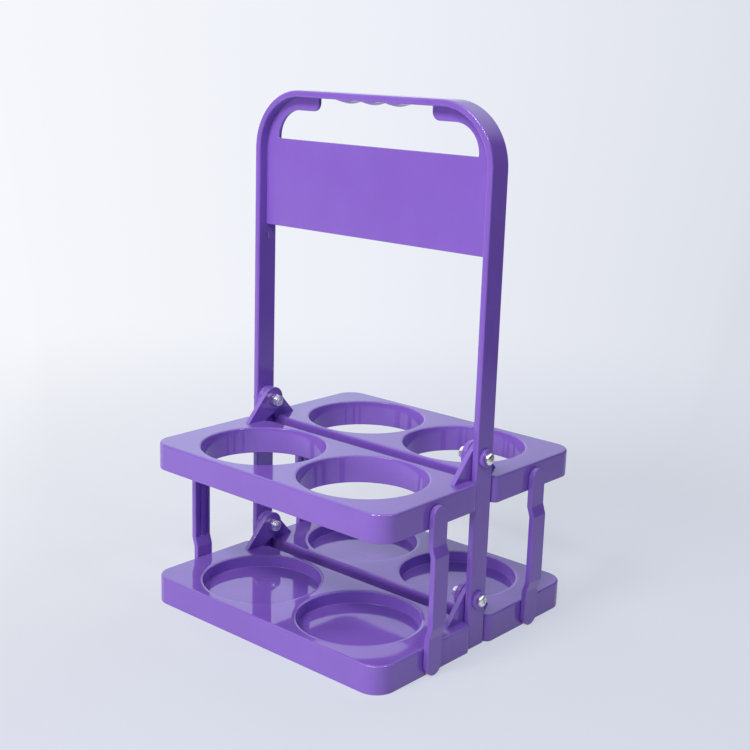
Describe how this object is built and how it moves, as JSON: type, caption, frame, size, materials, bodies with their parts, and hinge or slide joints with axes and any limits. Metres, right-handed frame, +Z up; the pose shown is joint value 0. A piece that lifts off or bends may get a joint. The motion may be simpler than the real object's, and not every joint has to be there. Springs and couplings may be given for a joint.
{
  "type": "folding drink carrier",
  "caption": "Folding drink carrier: a tall handle frame with hinged upper racks for cups or cans, hinged cup trays below them and side bars that link each rack to its tray.",
  "frame": {"origin": "on the floor under the middle of the handle frame, halfway between its two legs", "axes": "+Z up along the legs, X across from leg to leg along the hinge screws, -Y towards the front rack and tray"},
  "size_m": [0.1976, 0.1786, 0.3105],
  "materials": {
    "purple_plastic": "glossy injection-moulded plastic",
    "plated_steel": "bright zinc-plated steel",
    "white_nylon": "white nylon"
  },
  "bodies": {
    "frame": {"handle_frame": "purple_plastic", "upper_left_pivot_screw": "plated_steel", "upper_right_pivot_screw": "plated_steel", "lower_left_pivot_screw": "plated_steel", "lower_right_pivot_screw": "plated_steel", "upper_left_lock_nut": "plated_steel", "upper_right_lock_nut": "plated_steel", "lower_left_lock_nut": "plated_steel", "lower_right_lock_nut": "plated_steel", "upper_left_nut_insert": "white_nylon", "upper_right_nut_insert": "white_nylon", "lower_left_nut_insert": "white_nylon", "lower_right_nut_insert": "white_nylon"},
    "front_rack": {"upper_front_rack": "purple_plastic"},
    "rear_rack": {"upper_rear_rack": "purple_plastic"},
    "front_tray": {"lower_front_tray": "purple_plastic"},
    "rear_tray": {"lower_rear_tray": "purple_plastic"},
    "front_left_bar": {"front_left_link": "purple_plastic"},
    "front_right_bar": {"front_right_link": "purple_plastic"},
    "rear_left_bar": {"rear_left_link": "purple_plastic"},
    "rear_right_bar": {"rear_right_link": "purple_plastic"}
  },
  "joints": [
    {"name": "front_rack_fold", "type": "hinge", "parent": "frame", "child": "front_rack", "pos_m": [0, 0, 0.1147], "axis": [-1, 0, 0], "range_deg": [0, 90]},
    {"name": "rear_rack_fold", "type": "hinge", "parent": "frame", "child": "rear_rack", "pos_m": [0, 0, 0.1147], "axis": [1, 0, 0], "range_deg": [0, 90]},
    {"name": "front_tray_fold", "type": "hinge", "parent": "frame", "child": "front_tray", "pos_m": [0, 0, 0.0292], "axis": [-1, 0, 0], "range_deg": [0, 90]},
    {"name": "rear_tray_fold", "type": "hinge", "parent": "frame", "child": "rear_tray", "pos_m": [0, 0, 0.0292], "axis": [1, 0, 0], "range_deg": [0, 90]},
    {"name": "front_left_bar_pivot", "type": "hinge", "parent": "front_rack", "child": "front_left_bar", "pos_m": [-0.093, -0.0462, 0.0928], "axis": [-1, 0, 0], "range_deg": [-90, 0]},
    {"name": "front_right_bar_pivot", "type": "hinge", "parent": "front_rack", "child": "front_right_bar", "pos_m": [0.093, -0.0462, 0.0928], "axis": [-1, 0, 0], "range_deg": [-90, 0]},
    {"name": "rear_left_bar_pivot", "type": "hinge", "parent": "rear_rack", "child": "rear_left_bar", "pos_m": [-0.093, 0.0462, 0.0928], "axis": [1, 0, 0], "range_deg": [-90, 0]},
    {"name": "rear_right_bar_pivot", "type": "hinge", "parent": "rear_rack", "child": "rear_right_bar", "pos_m": [0.093, 0.0462, 0.0928], "axis": [1, 0, 0], "range_deg": [-90, 0]}
  ],
  "couplings": [
    {"joint": "front_tray_fold", "follows": "front_rack_fold", "ratio": 1},
    {"joint": "rear_tray_fold", "follows": "rear_rack_fold", "ratio": 1},
    {"joint": "front_left_bar_pivot", "follows": "front_rack_fold", "ratio": -1},
    {"joint": "front_right_bar_pivot", "follows": "front_rack_fold", "ratio": -1},
    {"joint": "rear_left_bar_pivot", "follows": "rear_rack_fold", "ratio": -1},
    {"joint": "rear_right_bar_pivot", "follows": "rear_rack_fold", "ratio": -1}
  ]
}
